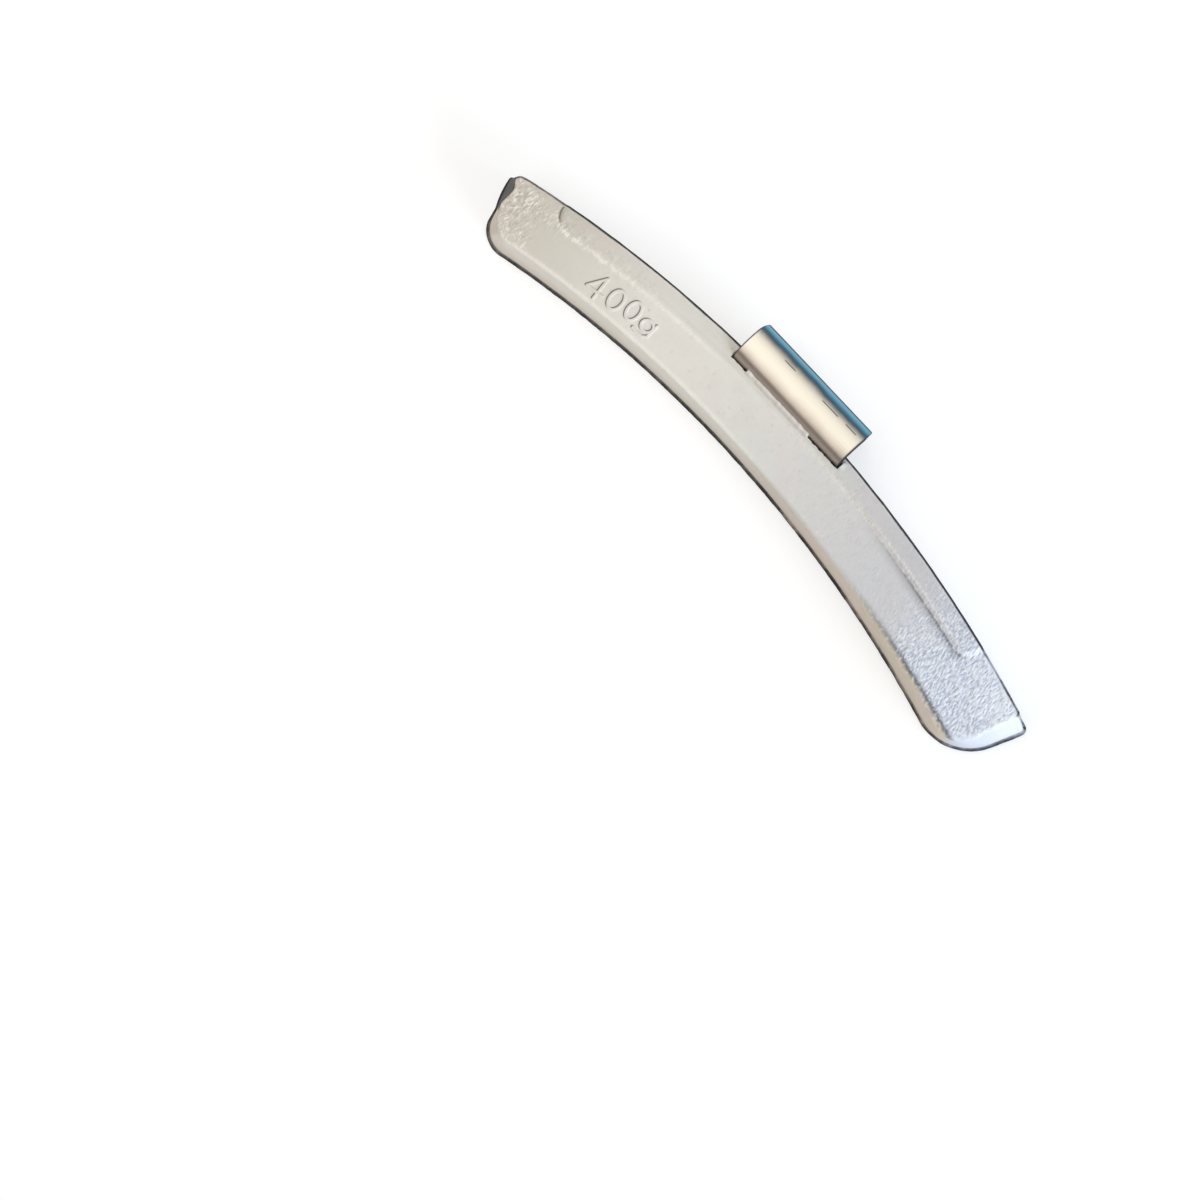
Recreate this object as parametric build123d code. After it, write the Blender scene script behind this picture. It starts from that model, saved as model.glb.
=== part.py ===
from build123d import *
import math
import os

# Clip-on balance weight for a truck wheel: a cast bar, curved like the rim, with a spring clip cast into it.
# It lies on its back. X runs along the bar, Y points away from the wheel's axle and Z out of the front face.
# The origin is on the back face, below the clip. Angles are in degrees.

# Cast bar
rim_arc_radius = 312.0
front_width = 15.0
thickness = 13.7
outer_draft = 3.5
inner_draft = 6.5
inner_arc_shift = 5.6
origin_setback = 8.0

# Ends of the bar: lengths to the outer corners on the back face, and how each end's back and front edge leans
left_half_length = 83.2
right_half_length = 84.0
left_back_lean = 20.0
left_front_lean = 14.0
right_back_lean = 20.2
right_front_lean = 15.6
left_end_draft = 21.0
right_end_draft = 15.0
left_corner_radius = 7.2
right_corner_radius = 12.0
front_edge_radius = 1.2

# Raised land along the outer edge, which stops short of the bar's ends
land_width = 4.7
land_height = 0.7
left_land_inset = 17.5
right_land_inset = 18.3
land_corner_radius = 4.0
land_wall_draft = 35.0

# Spring clip
clip_width = 32.6
clip_offset = 0.3
strip_thickness = 1.4
strip_edge_radius = 0.3
clip_setback = 3.0
clip_reach = 7.5
arch_rise = 2.4
shoulder_radius = 2.6
crown_radius = 9.0
leg_length = 7.4
leg_lean = 6.0
tip_length = 1.2
tip_flare = 30.0
tip_bend_radius = 2.5
leg_taper = 8.0
tip_corner_radius = 4.0
tongue_straight = 1.6
tongue_cover = 2.2
tongue_lean = 32.0
tongue_bend_radius = 4.0
key_hole_diameter = 5.6
key_hole_spacing = 16.0

# Foot of the clip: mould notches left open at both ends, and metal that crept up the strip between them
notch_gap = 0.2
notch_depth = 0.9
left_notch_length = 4.6
right_notch_length = 9.0
creep_height = 0.6
creep_width = 0.7

front_z = thickness
land_z = thickness + land_height
axis_y = origin_setback - rim_arc_radius
clip_front_y = origin_setback - clip_setback
clip_left = clip_offset - clip_width / 2
clip_right = clip_offset + clip_width / 2
overshoot = 3 * front_width


def run(degrees, height):
    """Sideways run of a wall that leans by this angle over this height."""
    return height * math.tan(math.radians(degrees))


def heading(degrees):
    """Unit vector in the plane, turned from the first axis by this angle."""
    return Vector(math.cos(math.radians(degrees)), math.sin(math.radians(degrees)))


def cone_between(centre_x, radius_at, low, high):
    """Upright cone round the wheel's axle side, with its radius given at each height."""
    upward = (Align.CENTER, Align.CENTER, Align.MIN)
    return Pos(centre_x, axis_y, low) * Cone(radius_at(low), radius_at(high), high - low, align=upward)


def outer_radius(height):
    return rim_arc_radius + run(outer_draft, front_z - height)


def inner_radius(height):
    return rim_arc_radius - front_width - run(inner_draft, front_z - height)


def end_line(side, half_length, lean, inset):
    """Two points of an end's edge, outside both sides of the bar; side is -1 on the left and 1 on the right."""
    corner = Vector(side * half_length, axis_y + math.sqrt(outer_radius(0) ** 2 - half_length**2))
    inward = Vector(-side * heading(90 - lean).X, -heading(90 - lean).Y)
    across = Vector(-side * heading(lean).X, heading(lean).Y)
    start = corner + across * inset
    return start - inward * overshoot, start + inward * overshoot


def end_trim():
    """Block that ends at the two drafted ends of the bar."""
    outlines = []
    leans = {0: (left_back_lean, right_back_lean), front_z: (left_front_lean, right_front_lean)}
    for height, (left_lean, right_lean) in leans.items():
        left_out, left_in = end_line(-1, left_half_length, left_lean, run(left_end_draft, height))
        right_out, right_in = end_line(1, right_half_length, right_lean, run(right_end_draft, height))
        outline = make_face(Polyline(left_out, right_out, right_in, left_in, close=True))
        outlines.append(Pos(0, 0, height) * outline)
    return loft(outlines, ruled=True)


def round_inner_corner(bar, side, radius):
    """Rounds the upright edge where one end meets the inner side."""
    nearly_full_height = 0.99 * thickness
    uprights = [edge for edge in bar.edges() if edge.bounding_box().size.Z > nearly_full_height]
    this_end = [edge for edge in uprights if side * edge.center().X > 0]
    return fillet(min(this_end, key=lambda edge: edge.center().Y), radius)


def make_bar():
    outside = cone_between(0, outer_radius, 0, front_z)
    inside = cone_between(-inner_arc_shift, inner_radius, 0, front_z)
    bar = (outside - inside) & end_trim()
    bar = round_inner_corner(bar, -1, left_corner_radius)
    bar = round_inner_corner(bar, 1, right_corner_radius)
    front_edges = bar.faces().sort_by(Axis.Z)[-1].edges().sort_by(Axis.Y)
    return fillet(front_edges[:-1], front_edge_radius)


def make_land():
    """Raised band along the outer edge, with rounded inner corners and sloping walls."""
    band = Circle(rim_arc_radius + land_width) - Circle(rim_arc_radius - land_width)
    far = 2 * rim_arc_radius
    left_x = left_land_inset - left_half_length
    right_x = right_half_length - right_land_inset
    left_ray = Vector(left_x, math.sqrt(rim_arc_radius**2 - left_x**2)).normalized() * far
    right_ray = Vector(right_x, math.sqrt(rim_arc_radius**2 - right_x**2)).normalized() * far
    band &= make_face(Polyline((0, 0), left_ray, right_ray, close=True))
    inner_corners = band.vertices().sort_by(Axis.Y)[:2]
    band = fillet(inner_corners, land_corner_radius)
    land = extrude(Pos(0, axis_y, front_z) * band, land_height, taper=land_wall_draft)
    return land & cone_between(0, outer_radius, front_z, land_z)


def block(low, high):
    size = Vector(high) - Vector(low)
    return Pos(low) * Box(size.X, size.Y, size.Z, align=(Align.MIN, Align.MIN, Align.MIN))


def shape_leg(strip, middle_y, top_z, low_z):
    """Tapers the clip's leg, which lies beyond the middle of the arch, and rounds the corners of its tip."""
    inset = run(leg_taper, top_z - low_z)
    tip_corners = ((clip_right - inset, low_z), (clip_left + inset, low_z))
    outline = make_face(Polyline((clip_left, top_z), (clip_right, top_z), *tip_corners, close=True))
    outline = fillet(outline.vertices().sort_by(Axis.Y)[:2], tip_corner_radius)
    depth = 2 * clip_reach
    leg_space = Pos(0, middle_y, 0) * Rot(90, 0, 0) * extrude(outline, -depth)
    margin = strip_thickness
    low_corner = (clip_left - margin, middle_y, low_z - margin)
    high_corner = (clip_right + margin, middle_y + depth, top_z)
    return strip - (block(low_corner, high_corner) - leg_space)


def make_clip():
    """Strip bent over the rim's lip, drawn as its middle line in the Y and Z plane."""
    half_span = (clip_setback + clip_reach - strip_thickness) / 2
    middle_y = clip_front_y + strip_thickness / 2 + half_span
    crown_centre = Vector(middle_y, land_z + arch_rise - strip_thickness / 2 - crown_radius)
    shoulder_offset = half_span - shoulder_radius
    crown_half_angle = math.degrees(math.asin(shoulder_offset / (crown_radius - shoulder_radius)))
    shoulder_height = (crown_radius - shoulder_radius) * heading(crown_half_angle).X
    outer_centre = crown_centre + Vector(shoulder_offset, shoulder_height)
    inner_centre = crown_centre + Vector(-shoulder_offset, shoulder_height)
    shoulder_turn = 90 - crown_half_angle
    outer_shoulder = CenterArc(outer_centre, shoulder_radius, -leg_lean, leg_lean + shoulder_turn)
    crown = CenterArc(crown_centre, crown_radius, shoulder_turn, 2 * crown_half_angle)
    inner_shoulder = CenterArc(inner_centre, shoulder_radius, 180 - shoulder_turn, shoulder_turn)
    leg_top = outer_shoulder @ 0
    leg = Line(leg_top, leg_top - heading(90 - leg_lean) * leg_length)
    tip_bend = JernArc(leg @ 1, leg % 1, tip_bend_radius, leg_lean + tip_flare)
    tip = Line(tip_bend @ 1, tip_bend @ 1 + (tip_bend % 1) * tip_length)
    neck_top = inner_shoulder @ 1
    neck = Line(neck_top, neck_top - Vector(0, tongue_straight))
    neck_bend = JernArc(neck @ 1, neck % 1, tongue_bend_radius, -tongue_lean)
    tongue_length = ((neck_bend @ 1).Y - tongue_cover) / heading(tongue_lean).X
    tongue = Line(neck_bend @ 1, neck_bend @ 1 + (neck_bend % 1) * tongue_length)
    arch = [outer_shoulder, crown, inner_shoulder]
    profile = trace([tip, tip_bend, leg, *arch, neck, neck_bend, tongue], strip_thickness)
    strip = extrude(Plane.YZ.offset(clip_offset) * profile, clip_width / 2, both=True)
    end_faces = strip.faces().filter_by(Axis.X)
    strip = fillet(end_faces.edges(), strip_edge_radius)
    strip = shape_leg(strip, middle_y, land_z + arch_rise - strip_thickness, (tip @ 1).Y)
    middle = tongue @ 0.5
    along = tongue % 0.5
    for x in (clip_offset - key_hole_spacing / 2, clip_offset + key_hole_spacing / 2):
        across_strip = Plane(origin=(x, middle.X, middle.Y), x_dir=(1, 0, 0), z_dir=(0, along.Y, -along.X))
        strip -= across_strip * Cylinder(key_hole_diameter / 2, 3 * strip_thickness)
    return strip


def clip_notches():
    """Open gaps at the foot of the strip, round each of its ends."""
    front_y = clip_front_y - notch_gap
    back_y = clip_front_y + strip_thickness
    low_z = land_z - notch_depth
    high_z = land_z + creep_height
    left = block((clip_left - notch_gap, front_y, low_z), (clip_left + left_notch_length, back_y, high_z))
    right = block((clip_right - right_notch_length, front_y, low_z), (clip_right + notch_gap, back_y, high_z))
    return left + right


def creep_bead():
    """Metal that crept up the foot of the strip, between the notches."""
    start = clip_left + left_notch_length
    length = clip_width - left_notch_length - right_notch_length
    back_y = clip_front_y + strip_thickness / 2
    section = make_face(
        Polyline(
            (back_y, front_z),
            (clip_front_y - creep_width, front_z),
            (clip_front_y - creep_width, land_z),
            (clip_front_y, land_z + creep_height),
            (back_y, land_z + creep_height),
            close=True,
        )
    )
    return Pos(start, 0, 0) * extrude(Plane.YZ * section, length)


spring_clip = make_clip()
weight_body = make_bar() + make_land() + creep_bead() - clip_notches() - spring_clip

os.makedirs("parts", exist_ok=True)
export_step(weight_body, "parts/weight_body.step")
export_step(spring_clip, "parts/spring_clip.step")
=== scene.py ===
import math

import bmesh
import bpy
import numpy as np
from mathutils import Matrix, Vector, noise
from mathutils.geometry import delaunay_2d_cdt
from mathutils.kdtree import KDTree


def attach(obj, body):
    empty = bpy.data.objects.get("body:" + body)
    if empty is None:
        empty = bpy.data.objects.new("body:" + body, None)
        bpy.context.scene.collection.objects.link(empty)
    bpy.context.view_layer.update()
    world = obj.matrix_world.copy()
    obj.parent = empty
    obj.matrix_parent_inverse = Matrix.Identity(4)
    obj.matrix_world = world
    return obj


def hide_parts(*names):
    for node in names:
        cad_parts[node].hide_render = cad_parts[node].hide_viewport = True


# Clip-on balance weight: a rough cast bar with a bent spring strip cast into its outer edge.
# X runs along the bar, Y away from the wheel's axle and Z out of the front face.
# Sizes are in millimetres and angles in degrees; the meshes are made in metres.

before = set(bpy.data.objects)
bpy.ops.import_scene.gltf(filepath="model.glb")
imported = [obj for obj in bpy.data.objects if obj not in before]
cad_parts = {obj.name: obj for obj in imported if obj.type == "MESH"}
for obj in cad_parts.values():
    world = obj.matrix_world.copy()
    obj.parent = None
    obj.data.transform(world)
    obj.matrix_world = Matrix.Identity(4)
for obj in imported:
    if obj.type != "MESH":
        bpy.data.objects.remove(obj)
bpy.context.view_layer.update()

MM = 0.001
TINY = 1e-6

# Cast bar
RIM_RADIUS = 312.0
FRONT_WIDTH = 15.0
THICKNESS = 13.7
OUTER_DRAFT = 3.5
INNER_DRAFT = 6.5
INNER_SHIFT = 5.6
SETBACK = 8.0
AXIS_Y = SETBACK - RIM_RADIUS
END_REACH = 3 * FRONT_WIDTH
LEFT_EDGE_RADIUS = 0.8
RIGHT_EDGE_RADIUS = 1.2
OUTER_EDGE_RADIUS = 0.75
OUTER_EDGE_FLARE = 0.45

# Ends of the bar, left (-1) and right (1); inner and outer are corner roundings, at the back and the front
ENDS = {
    -1: {
        "length": 83.2, "back_lean": 20.0, "front_lean": 14.0, "draft": 21.0,
        "inner": (7.2, 7.2), "outer": (0.6, 1.4),
    },
    1: {
        "length": 84.0, "back_lean": 20.2, "front_lean": 15.6, "draft": 15.0,
        "inner": (12.0, 6.5), "outer": (1.3, 1.3),
    },
}

# Left end: its outer corner and span in Y, then the depth, place and width of a fuller and a hollow part;
# places and widths are shares of the span, those of the gate's scar too
LEFT_END_TOP = -2.4
LEFT_END_SPAN = 13.6
LEFT_FULLER = (0.25, 0.22, 0.2)
LEFT_HOLLOW = (0.4, 0.62, 0.14)
GATE_INSET = 1.2
GATE_TOP = -0.14
GATE_LOW = 0.6
GATE_BORDER = 0.08
GATE_RAGGED = 0.06

# Raised land along the outer edge
LAND_WIDTH = 4.7
LAND_HEIGHT = 0.7
LAND_HALF_LENGTH = 65.7
LAND_CORNER = 4.0
LAND_WALL_RUN = 0.9
LAND_SOFT_RUN = 1.0
LAND_RIGHT_END_RUN = 1.7
LAND_LEFT_END_RUN = 0.3
LAND_Z = THICKNESS + LAND_HEIGHT
LAND_END_ANGLE = math.degrees(math.asin(LAND_HALF_LENGTH / RIM_RADIUS))

# Spring strip
STRIP_WIDTH = 32.6
STRIP_OFFSET = 0.3
STRIP_THICKNESS = 1.4
STRIP_EDGE_RADIUS = 0.3
STRIP_SETBACK = 3.0
STRIP_REACH = 7.5
ARCH_RISE = 2.4
SHOULDER_RADIUS = 2.6
CROWN_RADIUS = 9.0
LEG_LENGTH = 7.4
LEG_LEAN = 6.0
LEG_TAPER = 7.2
TIP_LENGTH = 1.2
TIP_FLARE = 30.0
TIP_BEND_RADIUS = 2.5
TIP_CORNER_RADIUS = 4.0
TONGUE_STRAIGHT = 1.6
TONGUE_COVER = 2.2
TONGUE_LEAN = 32.0
TONGUE_BEND_RADIUS = 4.0
TONGUE_CORNER_RADIUS = 0.6
KEY_HOLE_DIAMETER = 5.6
KEY_HOLE_SPACING = 16.0
STRIP_FRONT_Y = SETBACK - STRIP_SETBACK
STRIP_BACK_Y = STRIP_FRONT_Y + STRIP_THICKNESS
STRIP_LEFT = STRIP_OFFSET - STRIP_WIDTH / 2
STRIP_RIGHT = STRIP_OFFSET + STRIP_WIDTH / 2

# Foot of the strip
NOTCH_GAP = 0.2
NOTCH_DEPTH = 0.9
NOTCH_WALL = 0.12
NOTCH_RAGGED = 0.25
LEFT_NOTCH = 4.6
RIGHT_NOTCH = 9.0
CREEP_HEIGHT = 0.6
CREEP_WIDTH = 0.7
SEAM_HEIGHT = 0.05
SEAM_WIDTH = 0.13
SEAM_SETBACK = 1.15
BURR_HEIGHT = 0.4
BURR_LENGTH = 1.5

# Flash along the foot of the casting, from the back face up: shares of its width tucked in and of its height
LIP_REACH = 0.22
LIP_WIDTH = 0.36
LIP_HEIGHT = 0.7
LIP_PROFILE = ((0.5, 0.0), (0.15, 0.1), (0.0, 0.35), (0.0, 0.8), (0.15, 1.0), (0.6, 1.1))
LIP_GATE_LOSS = 0.85
WALL_FOOT = 1.4 * LIP_HEIGHT

# Rough skin of the casting
GRAIN_HEIGHT = 0.16
SIDE_GRAIN = 0.3
BROW_DROP = 0.1
BROW_WIDTH = 1.6

# Sizes of the skin's grains in the plane
FLECK_TURN = 12.0
COARSE_FLECK = (0.31, 0.85)
FINE_FLECK = (0.2, 0.42)
FLOW_MARK = (0.36, 0.95)
FLOW_BEND = (1.6, 1.6)
PIT = (0.3, 0.36)

# Painted shadow in the crease along the inner edge at the right
CREASE_INSET = 0.7
CREASE_DRIFT = 0.13
CREASE_SHADOW_STRENGTH = 0.75
CREASE_WIDTH = 0.62

# Dark bands along the foot of the sides and just below the front edge on the outer side
DARK_FOOT_HEIGHT = 1.5
DARK_FOOT_FADE = 0.9
DARK_FOOT_LEFT_RISE = 0.4
DARK_EDGE_DEPTH = 0.9
DARK_BAND_RAGGED = 0.4

# Raised mass mark, placed by angle along the bar and distance out from the rim's arc: its straight strokes
# from point to point, and its rings with their half sizes
MARK_HEIGHT = 0.2
MARK_CORE = 0.16
MARK_HALF_WIDTH = 0.5
MARK_STEEP = 0.62
MARK_SHADE_STEP = 0.12
MARK_ANGLE = -7.8
MARK_RADIUS = RIM_RADIUS - 10.0
MARK_LINES = (
    ((-8.62, -11.15), (-9.42, -11.15), (-8.86, -7.4), (-8.87, -12.6)),
    ((-6.05, -8.6), (-6.09, -11.8), (-6.27, -12.4), (-6.6, -12.4), (-6.8, -12.1)),
)
MARK_RINGS = (
    ((-8.06, -9.85), (1.55, 2.3)),
    ((-7.2, -9.35), (1.45, 2.2)),
    ((-6.37, -9.95), (1.45, 1.3)),
)

# Points of the front face: zones from angle to angle with their spacing, and two finer windows
FRONT_ZONES = ((-17.0, -10.8, 0.175), (-10.8, 2.0, 0.33), (2.0, 8.6, 0.2), (8.6, 17.0, 0.155))
WALL_ROW_MARGIN = 0.2
MARK_WINDOW = ((-14.0, -9.85), (-6.5, -5.6))
MARK_STEPS = (0.14, 0.125)
FOOT_WINDOW = ((STRIP_LEFT - 1.2, STRIP_FRONT_Y - 1.5), (STRIP_RIGHT + 1.2, STRIP_FRONT_Y + 0.7))
FOOT_STEPS = (0.15, 0.12)

# Counts of points round the outline and of rings up the sides
WALL_RINGS = 9
EDGE_RINGS = 8
SIDE_POINTS = 500
CORNER_POINTS = 12
END_POINTS = 26
INNER_CORNER_POINTS = 40


def smooth(share):
    """Eases from 0 to 1."""
    share = np.clip(share, 0, 1)
    return share * share * (3 - 2 * share)


def rise(value, start, length):
    """Eases from 0 at the start to 1 over the length."""
    return smooth((value - start) / length)


def fall(value, end, length):
    """Eases from 1 to 0 over the length, up to the end."""
    return smooth((end - value) / length)


def hump(offset, width):
    """1 at no offset, falling away to both sides."""
    return np.exp(-((offset / width) ** 2))


def between(value, low, high):
    """1 inside the range, falling to 0 outside it over the notch's wall."""
    return smooth((value - low) / NOTCH_WALL + 1) * smooth((high - value) / NOTCH_WALL + 1)


def raised(points, height):
    """Plane points at one height, or at a height each."""
    return np.column_stack((points, np.full(len(points), height)))


def perlin(points, scale, seed):
    """Noise from about -1 to 1 at points in millimetres, with one grain size for each axis."""
    scaled = points / np.asarray(scale) + seed
    return np.array([noise.noise(Vector(point)) for point in scaled])


def flat_noise(points, scale, seed):
    """Noise over the plane; scale has two grain sizes."""
    return perlin(raised(points, 0.0), (*scale, 1), seed)


def turned(points, angle):
    """Plane points in axes that are turned by this angle."""
    c = math.cos(math.radians(angle))
    s = math.sin(math.radians(angle))
    return np.column_stack((c * points[:, 0] + s * points[:, 1], c * points[:, 1] - s * points[:, 0]))


def polar(points):
    """Distance out from the rim's arc and angle along it."""
    height = points[:, 1] - AXIS_Y
    return np.hypot(points[:, 0], height) - RIM_RADIUS, np.degrees(np.arctan2(points[:, 0], height))


def from_polar(outward, angle):
    radius = RIM_RADIUS + outward
    turn = np.radians(angle)
    return np.column_stack((radius * np.sin(turn), AXIS_Y + radius * np.cos(turn)))


def from_inner_edge(points):
    """Distance outwards from the front face's inner edge."""
    return np.hypot(points[:, 0] + INNER_SHIFT, points[:, 1] - AXIS_Y) - RIM_RADIUS + FRONT_WIDTH


# Outline of the bar

def run(degrees, height):
    """Sideways run of a wall that leans by this angle over this height."""
    return height * math.tan(math.radians(degrees))


def end_edge(side, height):
    """Point, direction and inward normal of an end's edge, from the outer to the inner side."""
    end = ENDS[side]
    back_radius = RIM_RADIUS + run(OUTER_DRAFT, THICKNESS)
    corner = np.array((side * end["length"], AXIS_Y + math.sqrt(back_radius**2 - end["length"] ** 2)))
    lines = []
    for level, lean in ((0, math.radians(end["back_lean"])), (THICKNESS, math.radians(end["front_lean"]))):
        inward = np.array((-side * math.sin(lean), -math.cos(lean)))
        across = np.array((-side * math.cos(lean), math.sin(lean)))
        start = corner + across * run(end["draft"], level)
        lines.append((start - inward * END_REACH, start + inward * END_REACH))
    share = height / THICKNESS
    first = lines[0][0] + share * (lines[1][0] - lines[0][0])
    last = lines[0][1] + share * (lines[1][1] - lines[0][1])
    direction = (last - first) / np.linalg.norm(last - first)
    return first, direction, np.array((side * direction[1], -side * direction[0]))


def corner_arc(edge, centre, radius, rounding, hollow):
    """Centre of the arc that rounds an end into a side, with its points on the end and on the side."""
    first, direction, normal = edge
    reach = radius + rounding if hollow else radius - rounding
    offset = first + rounding * normal - centre
    along = offset @ direction
    middle = centre + offset + (-along - math.sqrt(along**2 - offset @ offset + reach**2)) * direction
    return middle, middle - rounding * normal, centre + (middle - centre) * radius / reach


def on_circle(centre, radius, angles):
    return centre + radius * np.column_stack((np.cos(angles), np.sin(angles)))


def arc_points(centre, start, end, count):
    """Points of the shorter arc between two points, without the last one."""
    first = math.atan2(start[1] - centre[1], start[0] - centre[0])
    last = math.atan2(end[1] - centre[1], end[0] - centre[0])
    turn = (last - first + math.pi) % (2 * math.pi) - math.pi
    angles = first + turn * np.arange(count) / count
    return on_circle(centre, math.hypot(start[0] - centre[0], start[1] - centre[1]), angles)


def line_points(start, end, count):
    """Points of a straight line, without the last one."""
    return start + (end - start) * (np.arange(count) / count)[:, None]


def outline(height):
    """Outline of the bar at this height: outer side, right end, inner side and left end, clockwise."""
    outer_centre = np.array((0, AXIS_Y))
    inner_centre = np.array((-INNER_SHIFT, AXIS_Y))
    outer_radius = RIM_RADIUS + run(OUTER_DRAFT, THICKNESS - height)
    inner_radius = RIM_RADIUS - FRONT_WIDTH - run(INNER_DRAFT, THICKNESS - height)
    outer = {}
    inner = {}
    for side, end in ENDS.items():
        edge = end_edge(side, height)
        outer_rounding = np.interp(height, (0, THICKNESS), end["outer"])
        inner_rounding = np.interp(height, (0, THICKNESS), end["inner"])
        outer[side] = corner_arc(edge, outer_centre, outer_radius, outer_rounding, False)
        inner[side] = corner_arc(edge, inner_centre, inner_radius, inner_rounding, True)
    return np.vstack((
        arc_points(outer_centre, outer[-1][2], outer[1][2], SIDE_POINTS),
        arc_points(outer[1][0], outer[1][2], outer[1][1], CORNER_POINTS),
        line_points(outer[1][1], inner[1][1], END_POINTS),
        arc_points(inner[1][0], inner[1][1], inner[1][2], INNER_CORNER_POINTS),
        arc_points(inner_centre, inner[1][2], inner[-1][2], SIDE_POINTS),
        arc_points(inner[-1][0], inner[-1][2], inner[-1][1], INNER_CORNER_POINTS),
        line_points(inner[-1][1], outer[-1][1], END_POINTS),
        arc_points(outer[-1][0], outer[-1][1], outer[-1][2], CORNER_POINTS),
    ))


ZONE_COUNTS = (SIDE_POINTS, CORNER_POINTS, END_POINTS, INNER_CORNER_POINTS,
               SIDE_POINTS, INNER_CORNER_POINTS, END_POINTS, CORNER_POINTS)


def round_outline(*levels):
    """Values round the outline: a level for the start of each zone, eased from zone to zone."""
    parts = []
    for count, level, following in zip(ZONE_COUNTS, levels, levels[1:] + levels[:1]):
        parts.append(level + (following - level) * smooth(np.arange(count) / count))
    return np.concatenate(parts)


OUTER_ZONE = round_outline(1, 1, 0, 0, 0, 0, 0, 0)
INNER_ZONE = round_outline(0, 0, 0, 0, 1, 1, 1, 1)
RIGHT_END_ZONE = round_outline(0, 0, 1, 1, 0, 0, 0, 0)
RIGHT_CORNER_ZONE = rise(RIGHT_END_ZONE, 0.0, 0.02)
# Tan as painted warm light on the inner side
WARM_LIGHT_TAN_ZONE = rise(INNER_ZONE, 0.5, 0.3)
# Painted highlight on the sides of the right end
RIGHT_END_HIGHLIGHT_ZONE = rise(RIGHT_END_ZONE, 0.2, 0.3)


def edge_radii(loop):
    """Rounding of the front edge: it grows to the right and is least on the outer side."""
    growth = (RIGHT_EDGE_RADIUS - LEFT_EDGE_RADIUS) * rise(polar(loop)[1], -2.0, 8.0)
    radii = LEFT_EDGE_RADIUS + growth
    return radii + (OUTER_EDGE_RADIUS - radii) * OUTER_ZONE


def left_end(points):
    """Nearness to the left end, and the place down it: 0 at its outer corner, 1 at its inner one."""
    return fall(points[:, 0], -70.0, 4.0), (LEFT_END_TOP - points[:, 1]) / LEFT_END_SPAN


def left_end_wear(points):
    """Inward shift of the left end: fuller near its outer corner and hollow further down."""
    at_left, down = left_end(points)
    fuller, hollow = [depth * hump(down - place, width) for depth, place, width in (LEFT_FULLER, LEFT_HOLLOW)]
    return at_left * (hollow - fuller)


def gate_inset(points):
    """Inward shift of the left end's front edge, where the mould's gate was trimmed off."""
    at_left, down = left_end(points)
    return GATE_INSET * at_left * rise(down, 0.0, 0.2) * fall(down, 0.56, 0.36)


def gate_share(points, ragged=0.0):
    """Share of the gate's scar on the outer part of the left end; its lower border may be ragged."""
    at_left, down = left_end(points)
    low = GATE_LOW + GATE_RAGGED * ragged
    return at_left * fall(down, low, GATE_BORDER) * rise(down, GATE_TOP, GATE_BORDER)


def inward_normals(loop):
    along = np.roll(loop, -1, axis=0) - np.roll(loop, 1, axis=0)
    along /= np.linalg.norm(along, axis=1)[:, None]
    return np.column_stack((along[:, 1], -along[:, 0]))


def worn_outline(height):
    loop = outline(height)
    return loop + inward_normals(loop) * left_end_wear(loop)[:, None]


# Front face of the bar

def land_distance(points):
    """Distance out of the land's outline, which has rounded inner corners; negative on the land."""
    outward, angle = polar(points)
    across = np.radians(np.abs(angle) - LAND_END_ANGLE) * RIM_RADIUS + LAND_CORNER
    inward = LAND_CORNER - LAND_WIDTH - outward
    distance = np.hypot(np.maximum(across, 0), np.maximum(inward, 0)) - LAND_CORNER
    return distance + np.minimum(np.maximum(across, inward), 0)


def land_height(points):
    """Raised land; its wall is gentle along the left half and at its ends, towards the outer edge."""
    outward, angle = polar(points)
    past_end = np.radians(np.abs(angle) - LAND_END_ANGLE) * RIM_RADIUS
    wall = LAND_WALL_RUN + LAND_SOFT_RUN * fall(angle, 8.0, 8.0) * fall(past_end, 0, LAND_CORNER)
    end_run = np.where(angle > 0, LAND_RIGHT_END_RUN, LAND_LEFT_END_RUN)
    wall += end_run * smooth(1 + outward / LAND_WIDTH) * smooth(1 + past_end / LAND_CORNER)
    return LAND_HEIGHT * smooth(-land_distance(points) / wall)


def creep_height(y, wavy, ragged):
    """Metal that crept up the strip, with an uneven front."""
    width = CREEP_WIDTH * (1.1 + 0.5 * wavy + 0.35 * ragged)
    slope = smooth((y - STRIP_FRONT_Y) / width + 1) * fall(y, STRIP_BACK_Y, CREEP_WIDTH)
    return CREEP_HEIGHT * (1 + 0.3 * wavy + 0.25 * ragged) * slope


def burr_height(x, y):
    """Burr on the land, just past the strip's right end."""
    past_strip = x - STRIP_RIGHT - NOTCH_GAP
    along = BURR_HEIGHT * smooth(1 - past_strip / BURR_LENGTH) * smooth(past_strip / NOTCH_WALL)
    return along * (rise(y, STRIP_FRONT_Y, 0.6) * fall(y, STRIP_BACK_Y + 0.8, 0.6))


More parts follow.
